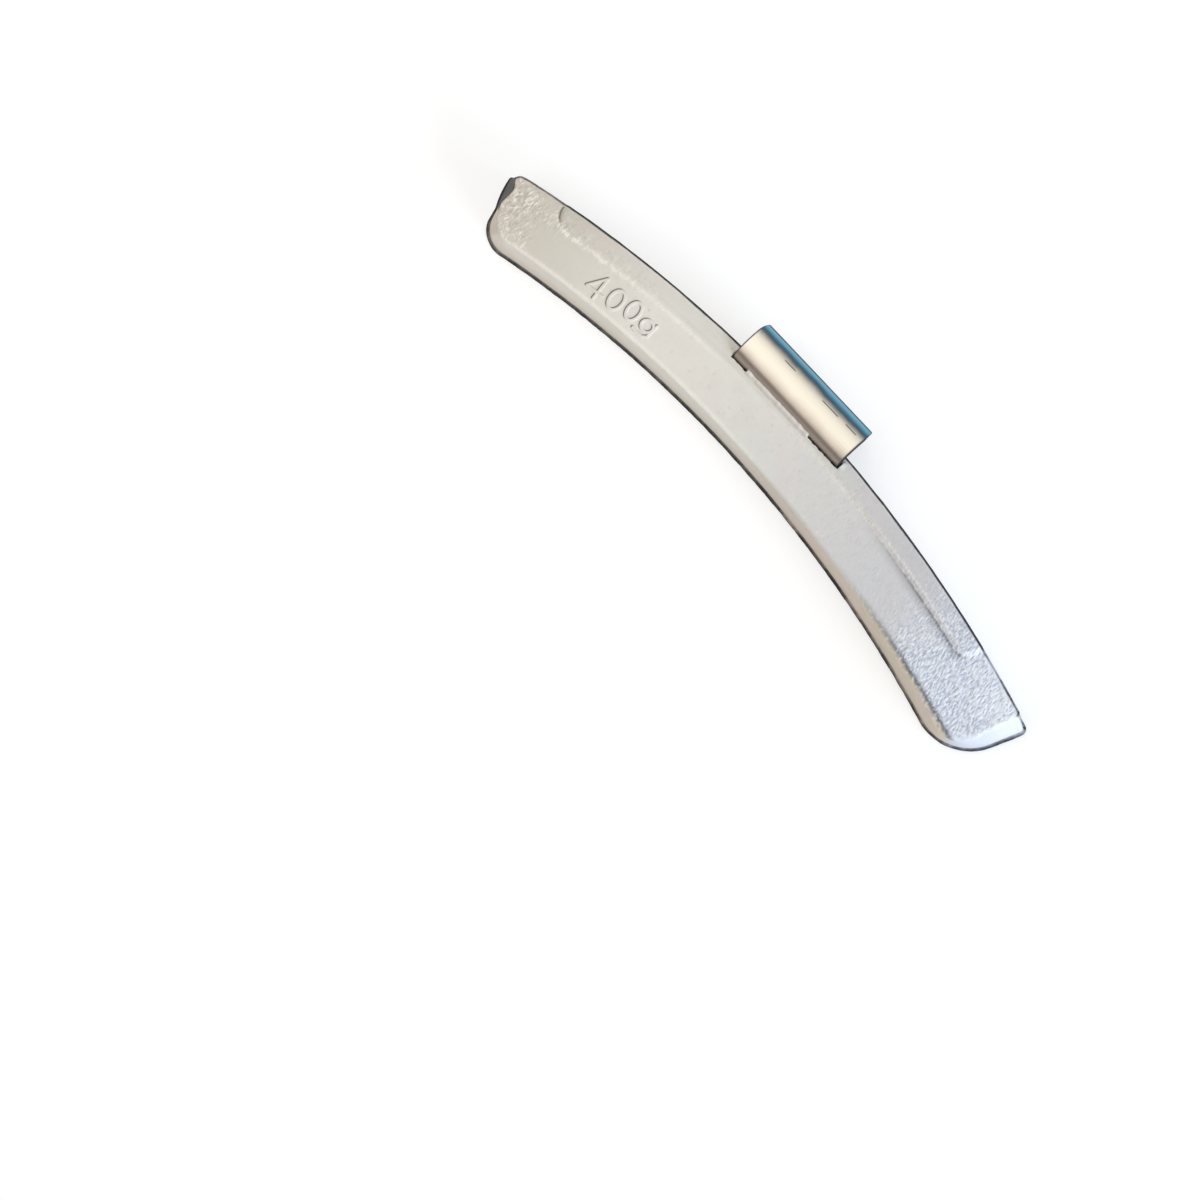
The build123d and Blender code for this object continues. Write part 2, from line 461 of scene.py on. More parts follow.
def foot_height(points):
    """Notches at both ends of the strip's foot, crept metal and a seam between them, and a burr."""
    x = points[:, 0]
    y = points[:, 1]
    ragged = flat_noise(points, (1.1, 50), 3.1)
    wavy = flat_noise(points, (4.0, 50), 7.7)
    left_stop = STRIP_LEFT + LEFT_NOTCH + NOTCH_RAGGED * ragged
    right_start = STRIP_RIGHT - RIGHT_NOTCH + NOTCH_RAGGED * ragged
    notch = between(x, STRIP_LEFT - NOTCH_GAP, left_stop) + between(x, right_start, STRIP_RIGHT + NOTCH_GAP)
    notch *= between(y, STRIP_FRONT_Y - NOTCH_GAP * (0.5 + ragged), STRIP_BACK_Y)
    creep = creep_height(y, wavy, ragged) * between(x, left_stop, right_start)
    seam_y = STRIP_FRONT_Y - SEAM_SETBACK + 0.12 * ragged
    seam = SEAM_HEIGHT * hump(y - seam_y, SEAM_WIDTH) * between(x, STRIP_LEFT, STRIP_RIGHT)
    return creep + seam + burr_height(x, y) - NOTCH_DEPTH * notch


def near_strip(points):
    return np.abs(points[:, 0]) < STRIP_WIDTH


def segment_distance(points, start, end):
    along = end - start
    share = np.clip((points - start) @ along / (along @ along), 0, 1)
    return np.linalg.norm(points - start - share[:, None] * along, axis=1)


def ring_distance(points, centre, half_size):
    """Near distance to an ellipse's line."""
    scaled = (points - centre) / half_size
    reach = np.maximum(np.linalg.norm(scaled, axis=1), TINY)
    steepness = np.linalg.norm(scaled / half_size, axis=1) / reach
    return np.abs(reach - 1) / np.maximum(steepness, TINY)


def mark_place(angle, outward):
    """Place in the mark's own plane, along the bar and outwards."""
    return np.array((math.radians(angle - MARK_ANGLE) * MARK_RADIUS, outward))


def mark_height(points):
    """The figures 400 and the letter g in raised strokes."""
    outward, angle = polar(points)
    local = np.column_stack((np.radians(angle - MARK_ANGLE) * MARK_RADIUS, outward))
    strokes = [ring_distance(local, mark_place(*centre), np.array(half)) for centre, half in MARK_RINGS]
    for line in MARK_LINES:
        for start, end in zip(line, line[1:]):
            strokes.append(segment_distance(local, mark_place(*start), mark_place(*end)))
    return MARK_HEIGHT * fall(np.min(strokes, axis=0), MARK_HALF_WIDTH, MARK_HALF_WIDTH - MARK_CORE)


def mark_shade(points):
    """Painted shade on the mark's sides that face left, away from the light."""
    ahead = points + np.array((MARK_SHADE_STEP, 0))
    return smooth((mark_height(ahead) - mark_height(points)) / MARK_SHADE_STEP / MARK_STEEP)


def grain_share(points):
    """How coarse the casting is: 1 on the right pad, less on the left pad, little in the middle."""
    outward, angle = polar(points)
    drift = 0.7 * flat_noise(points, (5, 5), 11.3)
    drifted = angle - 1.5 * drift
    right = rise(angle + drift, 8.6, 3.4) + 0.26 * rise(angle, -1.0, 7.0)
    left = 0.14 * fall(drifted, -10.6, 2.4) + 0.42 * fall(drifted, -12.3, 1.6)
    land_foot = hump(outward + LAND_WIDTH - 0.8, 2.4) * fall(angle, -4.0, 5.0)
    return np.clip(right + left + 0.36 * land_foot + 0.06, 0, 1)


def grain_relief(points):
    """Relief of the skin, about -1 to 1: flecks across the bar at the right, flow marks at the left."""
    flecks = turned(points, FLECK_TURN)
    coarse = flat_noise(flecks, COARSE_FLECK, 21.7)
    fine = flat_noise(flecks, FINE_FLECK, 5.9)
    bends = np.column_stack((flat_noise(points, FLOW_BEND, 31.0), flat_noise(points, FLOW_BEND, 47.0)))
    flow = flat_noise(points + 0.5 * bends, FLOW_MARK, 13.4)
    pits = flat_noise(points, PIT, 61.2)
    right = rise(polar(points)[1], 2.0, 8.0)
    return right * (coarse + 0.7 * fine) + (1 - right) * (flow + 0.6 * pits)


def grain_height(points):
    swell = 0.035 * flat_noise(points, (5.5, 4.0), 2.2) + 0.02 * flat_noise(points, (2.2, 1.8), 8.1)
    return GRAIN_HEIGHT * grain_share(points) * grain_relief(points) + swell


def painted_highlights(points):
    """Painted highlights: pale places on the land's wall, along the inner edge at the left and on the outer
    part of the right pad.
    """
    outward, angle = polar(points)
    distance = land_distance(points)
    foot = 0.28 * hump(distance - 0.2, 0.65) * fall(angle, -1.0, 4.0)
    wall = 0.12 + 0.2 * rise(angle, -1.0, 4.0)
    land = np.maximum(foot, wall * hump(distance + 0.65, 0.6)) * fall(outward, 0.1, 0.4)
    ridge = 0.44 * hump(from_inner_edge(points), 1.0) * fall(angle, 4.0, 6.0)
    pad = 0.25 * rise(angle, 11.8, 1.5) * rise(outward, -9.0, 6.0)
    return np.maximum(land, ridge) + pad


def crease_place(angle):
    """Distance of the painted shadow line from the front face's inner edge, at the right."""
    return CREASE_INSET + CREASE_DRIFT * np.maximum(angle - 7.0, 0)


def crease_shadow(points):
    """Painted shadow along the inner edge, stronger towards the right end."""
    angle = polar(points)[1]
    ragged = flat_noise(points, (0.7, 0.7), 53.0)
    offset = from_inner_edge(points) - crease_place(angle) + 0.25 * ragged
    return CREASE_SHADOW_STRENGTH * hump(offset, CREASE_WIDTH) * rise(angle, 5.5, 6.0) * smooth(0.9 + ragged)


def warm_light_tan_border(points):
    """Share of tan, as painted warm light, on the front face between its inner edge and the painted shadow
    line.
    """
    angle = polar(points)[1]
    inside = fall(from_inner_edge(points), crease_place(angle), 0.4)
    return inside * rise(angle, 5.0, 3.0)


def land_shadow_and_lines(points):
    """Painted shadow along the land's wall at the right, a dark line round its left end, and the dull land
    itself.
    """
    outward, angle = polar(points)
    distance = land_distance(points)
    ragged = flat_noise(points, (0.9, 0.9), 71.0)
    # Painted shadow just past the foot of the land's wall, with a soft tail away from it
    wall_shadow = 0.42 * hump(distance - 0.25 + 0.2 * ragged, 0.32) * smooth(0.8 + 1.2 * ragged)
    wall_shadow += 0.26 * rise(distance, -0.1, 0.4) * fall(distance, 2.3, 1.9)
    wall_shadow *= rise(angle, 4.5, 4.5) * fall(angle, LAND_END_ANGLE, 0.5)
    end_dark_line = 0.75 * hump(distance + 0.1, 0.26)
    end_dark_line *= fall(angle, -11.0, 0.8) * rise(outward, -4.4, 1.6)
    return wall_shadow + end_dark_line + 0.07 * fall(distance, 0, 1.5)


def front_darkening(points):
    """Darkening of the front face: painted shadow along the land's wall and the inner edge at the right, a
    dark line round the land's left end, painted shade on the mark and in the notches at the strip's foot, and
    dark spots.
    """
    spots = 0.12 * rise(flat_noise(points, (1.1, 0.8), 83.0), 0.62, 0.1)
    bare_and_shade = land_shadow_and_lines(points) + crease_shadow(points) + 0.85 * mark_shade(points) + spots
    near = near_strip(points)
    # Painted shade in the notches at the strip's foot
    bare_and_shade[near] += 0.9 * smooth((-foot_height(points[near]) - 0.15) / 0.3)
    return np.clip(bare_and_shade, 0, 1)


def front_height(points):
    """Height of the front face over the plane of the back."""
    brow = -BROW_DROP * rise(polar(points)[0], -BROW_WIDTH, BROW_WIDTH)
    height = THICKNESS + land_height(points) + mark_height(points) + grain_height(points) + brow
    near = near_strip(points)
    height[near] += foot_height(points[near])
    return height


# Points of the front face: rows along the arc, denser where it is rough, marked or stepped

def row_places(spacing):
    low = -LAND_WIDTH - WALL_ROW_MARGIN
    wall = np.arange(low, -LAND_WIDTH + LAND_WALL_RUN + WALL_ROW_MARGIN, 0.18)
    inner = np.arange(-18.0, wall[0] - spacing / 2, spacing)
    return np.concatenate((inner, wall, np.arange(wall[-1] + spacing, 0.5, spacing)))


def arc_grid(first_angle, last_angle, rows, spacing):
    grid = []
    for number, outward in enumerate(rows):
        step = math.degrees(spacing / (RIM_RADIUS + outward))
        shift = 0.5 * step * (number % 2)
        angles = np.arange(first_angle + shift, last_angle, step)
        grid.append(from_polar(outward, angles))
    return np.vstack(grid)


def inside_box(points, low, high):
    return np.all((points > np.array(low)) & (points < np.array(high)), axis=1)


def square_grid(low, high, steps):
    xs, ys = np.meshgrid(np.arange(low[0], high[0], steps[0]), np.arange(low[1], high[1], steps[1]))
    return np.column_stack((xs.ravel(), ys.ravel()))


def front_points():
    """Interior points of the front face, with two finer windows: the mark and the strip's foot."""
    wide = np.vstack([arc_grid(first, last, row_places(step), step) for first, last, step in FRONT_ZONES])
    in_mark = inside_box(np.column_stack(polar(wide)), *MARK_WINDOW)
    in_foot = inside_box(wide, *FOOT_WINDOW)
    (first_row, first_angle), (last_row, last_angle) = MARK_WINDOW
    mark = arc_grid(first_angle, last_angle, np.arange(first_row, last_row, MARK_STEPS[1]), MARK_STEPS[0])
    return np.vstack((wide[~in_mark & ~in_foot], mark, square_grid(*FOOT_WINDOW, FOOT_STEPS)))


def back_points():
    return arc_grid(-17.0, 17.0, np.arange(-20.0, 2.0, 1.6), 1.8)


# Meshes

def inside_loop(points, loop, margin):
    """Points that lie within a closed clockwise loop, at least the margin from it."""
    tree = KDTree(len(loop))
    for number, place in enumerate(loop):
        tree.insert((*place, 0), number)
    tree.balance()
    normals = inward_normals(loop)
    keep = []
    for point in points:
        _, number, distance = tree.find((*point, 0))
        keep.append(distance > margin and (point - loop[number]) @ normals[number] > 0)
    return points[np.array(keep)]


def fill(loops, interior):
    """Triangles over the first loop, less the round holes in the others, through the interior points."""
    flat = np.vstack((*loops, interior))
    starts = np.cumsum([0] + [len(loop) for loop in loops])
    rings = [list(range(starts[number], starts[number + 1])) for number in range(len(loops))]
    made = delaunay_2d_cdt([Vector(point) for point in flat], [], rings, 1, TINY)
    source = [origin[0] for origin in made[3]]
    triangles = np.array([[source[corner] for corner in face] for face in made[2]])
    middles = flat[triangles].mean(axis=1)
    for loop in loops[1:]:
        centre = loop.mean(axis=0)
        hole_radius = 0.98 * np.linalg.norm(loop - centre, axis=1).min()
        keep = np.linalg.norm(middles - centre, axis=1) > hole_radius
        triangles = triangles[keep]
        middles = middles[keep]
    return triangles


def walls(count, first, ring_count):
    """Quads between stacked rings of count points each, from the first index on."""
    near = first + np.arange(count)
    far = np.roll(near, -1)
    lowest = np.column_stack((near, far, far + count, near + count))
    return [quad for number in range(ring_count - 1) for quad in lowest + count * number]


def add_object(name, data):
    item = bpy.data.objects.new(name, data)
    bpy.context.scene.collection.objects.link(item)
    return item


def make_object(name, points, faces, material, attributes):
    mesh = bpy.data.meshes.new(name)
    mesh.from_pydata((np.asarray(points) * MM).tolist(), [], [list(map(int, face)) for face in faces])
    shell = bmesh.new()
    shell.from_mesh(mesh)
    bmesh.ops.recalc_face_normals(shell, faces=shell.faces)
    shell.to_mesh(mesh)
    shell.free()
    mesh.shade_smooth()
    for label, values in attributes.items():
        layer = mesh.attributes.new(label, "FLOAT", "POINT")
        layer.data.foreach_set("value", np.asarray(values, np.float32))
    mesh.materials.append(material)
    return add_object(name, mesh)


# Sides of the bar, as rings of points; rounding goes from 0 to 1 over the front edge

def wall_waves(points):
    """Small unevenness of the casting's sides."""
    return 0.05 * perlin(points, (4.0, 4.0, 5.0), 17.0) + 0.02 * perlin(points, (1.3, 1.3, 1.6), 29.0)


def dark_foot_band(level, ragged):
    """Dark band along the foot, higher on the inner side at the left."""
    left = DARK_FOOT_LEFT_RISE * INNER_ZONE * fall(polar(level[:, :2])[1], 4.0, 4.0)
    return fall(level[:, 2], DARK_FOOT_HEIGHT + left + DARK_BAND_RAGGED * ragged, DARK_FOOT_FADE + left)


# Dark band just below the front edge on the outer side
def dark_outer_edge(level, rounding, ragged):
    depth = (1 + DARK_BAND_RAGGED * ragged) * DARK_EDGE_DEPTH
    below_edge = rise(level[:, 2], THICKNESS - depth, DARK_EDGE_DEPTH)
    return OUTER_ZONE * below_edge * fall(rounding, 0.9 + 0.15 * ragged, 0.2)


def bare_gate(level, rounding, ragged):
    scar = gate_share(level[:, :2], ragged) * fall(rounding, 0.8, 0.4)
    return 0.92 * scar * fall(OUTER_ZONE, 0.9, 0.6)


def bare_upright(level, rounding):
    """Worn upright at the right outer corner, which is wider towards the front."""
    wider = 0.4 * level[:, 2] / THICKNESS
    upright = RIGHT_CORNER_ZONE * rise(OUTER_ZONE + wider, 0.65, 0.3)
    return 0.5 * upright * fall(rounding, 0.9, 0.3)


def wall_darkening(level, rounding):
    """Share of darkening on one ring of the sides: dark bands, the gate's scar, the worn upright and painted
    shadow along the inner edge.
    """
    ragged = 0.6 * perlin(level, (6.0, 6.0, 4.0), 37.0) + 0.3 * perlin(level, (0.9, 0.9, 0.9), 43.0)
    bare_and_shade = dark_foot_band(level, ragged) + dark_outer_edge(level, rounding, ragged)
    bare_and_shade += bare_gate(level, rounding, ragged) + bare_upright(level, rounding)
    # The painted shadow along the inner edge runs on over the rounding
    return np.clip(bare_and_shade + smooth(2 * rounding) * crease_shadow(level[:, :2]), 0, 1)


def wall_warm_light_tan(level, rounding):
    """Share of tan, as painted warm light, on one ring: the inner side, most of all at the right and lower
    down.
    """
    least = 0.25 + 0.4 * (1 - level[:, 2] / THICKNESS)
    share = least + (1 - least) * rise(polar(level[:, :2])[1], -2.0, 8.0)
    return WARM_LIGHT_TAN_ZONE * np.maximum(share * (1 - rise(rounding, 0.0, 0.625)), warm_light_tan_border(level[:, :2]))


def lip_rings(back, normals):
    """Rings of the ragged flash along the foot, and the line on the back's plane where the wall starts."""
    ragged = 0.3 * flat_noise(back, (2.5, 2.5), 19.0) + 0.2 * flat_noise(back, (0.8, 0.8), 41.0)
    height = LIP_HEIGHT * (1 + 0.2 * flat_noise(back, (1.8, 1.8), 67.0))
    share = 1 - LIP_GATE_LOSS * gate_share(back)
    width = share * LIP_WIDTH
    edge = -share * LIP_REACH * (1 + ragged)
    rings = []
    for tuck, lift in LIP_PROFILE:
        place = back + normals * (edge + tuck * (width - edge))[:, None]
        rings.append((raised(place, lift * height), 0.0))
    return rings, back + normals * width[:, None]


def wall_rings(foot, front, wall_top, normals):
    """Rings up the sides, from the flash to the rounding of the front edge."""
    rings = []
    for share in (0, *np.linspace(0.05, 0.95, WALL_RINGS), 1):
        height = WALL_FOOT + share * (wall_top - WALL_FOOT)
        place = foot + (front - foot) * (height / THICKNESS)[:, None]
        level = raised(place, height)
        fade = math.sin(math.pi * min(share, 0.5))
        level[:, :2] += normals * (fade * wall_waves(level))[:, None]
        rings.append((level, 0.0))
    return rings


def edge_rings(front, radii, draft, top_waves, normals):
    """Rings over the rounding of the front edge."""
    inset = radii * (np.cos(draft) - (1 - np.sin(draft)) * np.tan(draft))
    rings = []
    for step in np.linspace(0, 1, EDGE_RINGS)[1:]:
        turn = draft + step * (math.pi / 2 - draft)
        tuck = inset - radii * np.cos(turn) + (1 - step) * top_waves
        place = front + normals * tuck[:, None]
        height = front_height(place) - radii * (1 - np.sin(turn))
        rings.append((raised(place, height), step))
    return rings


def bar_rings():
    """Rings of the bar from the back's rim to the front's rim, each with its rounding."""
    back = worn_outline(0)
    front = worn_outline(THICKNESS)
    normals = inward_normals(front)
    flare = OUTER_EDGE_FLARE * OUTER_ZONE * rise(polar(front)[1], -14.8, 1.0)
    front = front + normals * (gate_inset(front) - flare)[:, None]
    rings, foot = lip_rings(back, normals)
    radii = edge_radii(front)
    draft = np.arctan(np.sum((front - foot) * normals, axis=1) / THICKNESS)
    wall_top = front_height(front) - radii * (1 - np.sin(draft))
    rings += wall_rings(foot, front, wall_top, normals)
    return rings + edge_rings(front, radii, draft, wall_waves(rings[-1][0]), normals)


def bar_attributes(rings, points, interior, back_count):
    """Values for the paint: the skin's coarseness, its grain heights with painted highlights added, the share
    of dark metal and painted shade, and that of tan as painted warm light.
    """
    count = len(rings[0][0])
    rounds = np.repeat([rounding for _, rounding in rings], count)
    on_front = np.concatenate((smooth(rounds), np.ones(len(interior)), np.zeros(back_count)))
    flat = points[:, :2]
    grain = SIDE_GRAIN + on_front * (grain_share(flat) - SIDE_GRAIN)
    relief_and_highlights = on_front * grain * grain_relief(flat)
    # Painted highlights, added above the flash
    relief_and_highlights += np.where(points[:, 2] > LIP_HEIGHT, painted_highlights(flat), 0)
    # Painted highlight on the right end's sides
    relief_and_highlights[:len(rounds)] += 0.14 * np.tile(RIGHT_END_HIGHLIGHT_ZONE, len(rings))
    bare_and_shade = [wall_darkening(*ring) for ring in rings]
    bare_and_shade += [front_darkening(interior), np.full(back_count, 0.1)]
    # Tan as painted warm light on the inner side
    tan = [wall_warm_light_tan(*ring) for ring in rings]
    tan += [warm_light_tan_border(interior), np.full(back_count, 0.3)]
    return {"grain": grain, "relief_and_highlights": relief_and_highlights, "bare_and_shade": np.concatenate(bare_and_shade), "tan": np.concatenate(tan)}


def make_bar(material):
    rings = bar_rings()
    loops = [level for level, _ in rings]
    count = len(loops[0])
    foot_rim = loops[0][:, :2]
    front_rim = loops[-1][:, :2]
    interior = inside_loop(front_points(), front_rim, margin=0.12)
    front = raised(interior, front_height(interior))
    under = inside_loop(back_points(), foot_rim, margin=0.8)
    back = raised(under, 0.0)
    points = np.vstack((*loops, front, back))
    front_start = count * len(loops)
    back_start = front_start + len(front)
    top = fill([front_rim], interior)
    top = np.where(top < count, top + front_start - count, top - count + front_start)
    bottom = fill([foot_rim], under)
    bottom = np.where(bottom < count, bottom, bottom - count + back_start)
    faces = [*walls(count, 0, len(loops)), *top, *bottom]
    attributes = bar_attributes(rings, points, interior, len(under))
    return make_object("cast_bar", points, faces, material, attributes)


# Spring strip: a flat blank, bent along a line in the Y and Z plane

CROWN_MOVE = 4
BLANK_CORNER_POINTS = 13
BLANK_POINTS_ACROSS = 60
BLANK_POINTS_ALONG = 130
BLANK_STEPS = (0.5, 0.22)


def strip_moves():
    """Straight runs and bends of the strip's middle line, from the tongue's end to the free tip."""
    lean = math.radians(TONGUE_LEAN)
    half_span = (STRIP_SETBACK + STRIP_REACH - STRIP_THICKNESS) / 2
    half_angle = math.degrees(math.asin((half_span - SHOULDER_RADIUS) / (CROWN_RADIUS - SHOULDER_RADIUS)))
    shoulder_height = (CROWN_RADIUS - SHOULDER_RADIUS) * math.cos(math.radians(half_angle))
    neck_top = LAND_Z + ARCH_RISE - STRIP_THICKNESS / 2 - CROWN_RADIUS + shoulder_height
    bend_low = neck_top - TONGUE_STRAIGHT - TONGUE_BEND_RADIUS * math.sin(lean)
    tongue = (bend_low - TONGUE_COVER) / math.cos(lean)
    bend_y = STRIP_FRONT_Y + STRIP_THICKNESS / 2 - TONGUE_BEND_RADIUS * (1 - math.cos(lean))
    start = np.array((bend_y - tongue * math.sin(lean), TONGUE_COVER))
    moves = [
        (tongue, 0),
        (TONGUE_BEND_RADIUS, TONGUE_LEAN),
        (TONGUE_STRAIGHT, 0),
        (SHOULDER_RADIUS, half_angle - 90),
        (CROWN_RADIUS, -2 * half_angle),
        (SHOULDER_RADIUS, half_angle - 90 - LEG_LEAN),
        (LEG_LENGTH, 0),
        (TIP_BEND_RADIUS, LEG_LEAN + TIP_FLARE),
        (TIP_LENGTH, 0),
    ]
    return start, moves, tongue


def strip_line():
    """Middle line: points, headings, lengths and where the leg's taper starts; then the tongue's length."""
    place, moves, tongue = strip_moves()
    heading = math.radians(90 - TONGUE_LEAN)
    places = [place]
    headings = [heading]
    lengths = [0.0]
    corners = []
    for size, turn in moves:
        turn = math.radians(turn)
        length = size * abs(turn) if turn else size
        steps = max(int(length / 0.05), 4)
        step = length / steps
        chord = 2 * size * math.sin(abs(turn) / steps / 2) if turn else step
        for _ in range(steps):
            middle = heading + turn / steps / 2
            place = place + chord * np.array((math.cos(middle), math.sin(middle)))
            heading += turn / steps
            places.append(place)
            headings.append(heading)
            lengths.append(lengths[-1] + step)
        corners.append(lengths[-1])
    return (np.array(places), np.array(headings), np.array(lengths), corners[CROWN_MOVE]), tongue


def bend(blank, line):
    """Takes points of the blank (across, along, out of the sheet) onto the bent strip, whose leg tapers."""
    places, headings, lengths, taper_start = line
    along = blank[:, 1]
    y = np.interp(along, lengths, places[:, 0])
    z = np.interp(along, lengths, places[:, 1])
    heading = np.interp(along, lengths, headings)
    narrower = 1 - run(LEG_TAPER, np.maximum(along - taper_start, 0)) / (STRIP_WIDTH / 2)
    x = STRIP_OFFSET + (blank[:, 0] - STRIP_OFFSET) * narrower
    out = blank[:, 2]
    return np.column_stack((x, y - out * np.sin(heading), z + out * np.cos(heading)))


def blank_loop(length, inset):
    """Outline of the blank, clockwise, with small corners at the tongue and large ones at the tip."""
    tip = TIP_CORNER_RADIUS - inset
    small = TONGUE_CORNER_RADIUS - inset
    left = STRIP_LEFT + inset
    right = STRIP_RIGHT - inset
    high = length - inset - tip
    low = inset + small
    turns = ((left + tip, high, tip, 180), (right - tip, high, tip, 90),
             (right - small, low, small, 0), (left + small, low, small, -90))
    corners = []
    for x, y, radius, first in turns:
        angles = np.radians(np.linspace(first, first - 90, BLANK_CORNER_POINTS))
        corners.append(on_circle(np.array((x, y)), radius, angles))
    sides = []
    for number, corner in enumerate(corners):
        following = corners[(number + 1) % len(corners)]
        count = BLANK_POINTS_ALONG if number % 2 else BLANK_POINTS_ACROSS
        sides.append(corner[:-1])
        sides.append(line_points(corner[-1], following[0], count))
    return np.vstack(sides)


def hole_loop(centre, radius):
    return on_circle(centre, radius, np.radians(np.arange(0, 360, 7.5)))


def edge_steps(rounding):
    """Insets and heights of the rings round a sheet's edge, from one face to the other."""
    flat = STRIP_THICKNESS / 2 - rounding
    turns = np.radians(np.linspace(-90, 0, 6))
    lower = [(rounding * (1 - math.cos(turn)), -flat + rounding * math.sin(turn)) for turn in turns]
    return lower + [(inset, -height) for inset, height in reversed(lower)]


def blank_rings(length, hole_places):
    """Rings round the edge of the blank and round each key hole."""
    rings = [[] for _ in range(1 + len(hole_places))]
    for inset, height in edge_steps(STRIP_EDGE_RADIUS):
        loops = [blank_loop(length, inset)]
        loops += [hole_loop(centre, KEY_HOLE_DIAMETER / 2 + inset / 2) for centre in hole_places]
        for ring, loop in zip(rings, loops):
            ring.append(raised(loop, height))
    return rings


def make_strip(material):
    line, tongue = strip_line()
    length = line[2][-1]
    hole_places = [np.array((STRIP_OFFSET + side * KEY_HOLE_SPACING / 2, tongue / 2)) for side in (-1, 1)]
    rings = blank_rings(length, hole_places)
    rims = [ring[0][:, :2] for ring in rings]
    grid = square_grid((STRIP_LEFT, 0), (STRIP_RIGHT, length), BLANK_STEPS)
    interior = inside_loop(grid, rims[0], margin=0.2)
    for centre in hole_places:
        clear = np.linalg.norm(interior - centre, axis=1) > KEY_HOLE_DIAMETER / 2 + STRIP_EDGE_RADIUS
        interior = interior[clear]
    blank = []
    faces = []
    starts = []
    total = 0
    for ring in rings:
        count = len(ring[0])
        starts.append((total, total + count * (len(ring) - 1)))
        faces += walls(count, total, len(ring))
        blank += ring
        total += count * len(ring)
    triangles = fill(rims, interior)
    for face, height in enumerate((-STRIP_THICKNESS / 2, STRIP_THICKNESS / 2)):
        index = [start[face] + np.arange(len(rim)) for start, rim in zip(starts, rims)]
        index.append(total + np.arange(len(interior)))
        faces += list(np.concatenate(index)[triangles])
        blank.append(raised(interior, height))
        total += len(interior)
    blank = np.vstack(blank)
    edge = np.clip((STRIP_THICKNESS / 2 - np.abs(blank[:, 2])) / STRIP_EDGE_RADIUS, 0, 1)
    return make_object("clip_strip", bend(blank, line), faces, material, {"edge": edge})


# Materials

class Nodes:
    """Short helpers to build the nodes of a material or of the world."""

    def __init__(self, holder, output="ShaderNodeOutputMaterial"):
        self.holder = holder
        holder.use_nodes = True
        self.tree = holder.node_tree
        self.tree.nodes.clear()
        self.output = self.tree.nodes.new(output)

    def add(self, kind, inputs=(), **settings):
        node = self.tree.nodes.new(kind)
        for label, value in settings.items():
            setattr(node, label, value)
        for socket, value in dict(inputs).items():
            if isinstance(value, bpy.types.NodeSocket):
                self.tree.links.new(value, node.inputs[socket])
            else:
                node.inputs[socket].default_value = value
        return node

    def place(self):
        return self.add("ShaderNodeTexCoord").outputs["Object"]

    def attribute(self, name):
        return self.add("ShaderNodeAttribute", attribute_name=name).outputs["Fac"]

    def axes(self):
        return self.add("ShaderNodeSeparateXYZ", {"Vector": self.place()}).outputs

    def noise(self, vector, scale, detail, roughness=0.55):
        inputs = {"Vector": vector, "Scale": scale, "Detail": detail, "Roughness": roughness}
        return self.add("ShaderNodeTexNoise", inputs).outputs["Fac"]

    def fade(self, value, low, high, to_low=0.0, to_high=1.0):
        inputs = {"Value": value, "From Min": low, "From Max": high, "To Min": to_low, "To Max": to_high}
        return self.add("ShaderNodeMapRange", inputs, interpolation_type="SMOOTHSTEP").outputs["Result"]

    def span(self, value, first, last, *levels):
        """Fade between two places in millimetres."""
        return self.fade(value, first * MM, last * MM, *levels)

    def math(self, operation, value, *others):
        for other in others:
            value = self.add("ShaderNodeMath", {0: value, 1: other}, operation=operation).outputs[0]
        return value

    def mix(self, share, first, second):
        """Mix of two colours, whose sockets come after those for numbers and vectors."""
        return self.add("ShaderNodeMix", {0: share, 6: first, 7: second}, data_type="RGBA").outputs[2]

    def finish(self, shader):
        self.tree.links.new(shader.outputs[0], self.output.inputs["Surface"])
        return self.holder


# Silver paint along the bar, with painted light: darker and browner at the left as painted shade, greyer and
# then bluish towards the right as painted cool light; each colour takes over between two places
SHADED_LEFT_PAINT = (0.58, 0.515, 0.43, 1)
MIDDLE_PAINT = (0.8, 0.765, 0.695, 1)
COOL_LIT_GREY_PAINT = (0.645, 0.63, 0.64, 1)
SKY_LIT_RIGHT_PAINT = (0.72, 0.76, 0.85, 1)
PAINT_CHANGES = ((MIDDLE_PAINT, -74.0, -32.0), (COOL_LIT_GREY_PAINT, -24.0, 40.0), (SKY_LIT_RIGHT_PAINT, 44.0, 64.0))

# Its hues, tan as painted warm light, painted shade for its hollows, painted highlights for its tops, and the
# colours of its specks and of bare metal and painted shade
GREEN_HUE = (0.73, 0.75, 0.67, 1)
PINK_HUE = (0.8, 0.73, 0.69, 1)
CLOUD = (0.62, 0.59, 0.54, 1)
TAN_WARM_LIGHT = (0.76, 0.69, 0.54, 1)
PINK_TAN_WARM_LIGHT = (0.81, 0.69, 0.6, 1)
WARM_HOLLOW_SHADE = (0.5, 0.46, 0.42, 1)
COOL_HOLLOW_SHADE = (0.46, 0.5, 0.58, 1)
WARM_HIGHLIGHT = (0.93, 0.89, 0.81, 1)
COOL_HIGHLIGHT = (0.92, 0.92, 0.93, 1)
SPECK = (0.54, 0.52, 0.49, 1)
DARK_METAL_AND_SHADE = (0.04, 0.04, 0.042, 1)
GREY_METAL_AND_SHADE = (0.1, 0.1, 0.105, 1)


